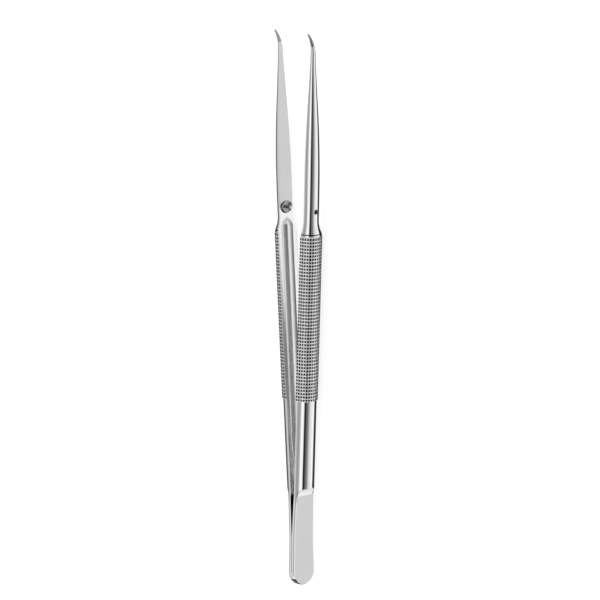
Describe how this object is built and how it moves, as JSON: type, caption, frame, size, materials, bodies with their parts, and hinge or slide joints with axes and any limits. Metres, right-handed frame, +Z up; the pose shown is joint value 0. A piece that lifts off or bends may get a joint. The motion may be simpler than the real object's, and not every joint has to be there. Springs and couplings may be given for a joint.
{
  "type": "thumb forceps",
  "caption": "Spring thumb forceps of polished steel with half-round knurled grips, a guide pin, a flat brazed tail and fine tips that curve to one side.",
  "frame": {"origin": "Middle of the bounding box at its lowest point: the forceps lie on a table on the lower edges of their grips and tail.", "axes": "+Y runs along the forceps from the tail to the tips, +X is across them from the left arm to the right arm, which is the way they close, and +Z is up, the side that the tips curve to."},
  "size_m": [0.0186, 0.1794, 0.0088],
  "materials": {
    "polished_steel": "polished stainless steel with fine grinding lines",
    "pin_steel": "turned and polished stainless steel"
  },
  "bodies": {
    "left_half": {"left_arm": "polished_steel", "guide_pin": "pin_steel"},
    "right_half": {"right_arm": "polished_steel"}
  },
  "joints": [
    {"name": "arm_squeeze", "type": "hinge", "parent": "left_half", "child": "right_half", "pos_m": [0, -0.0739, 0.0044], "axis": [0, 0, 1], "range_deg": [0, 5.34], "stiffness_Nm_per_rad": 0.8}
  ]
}
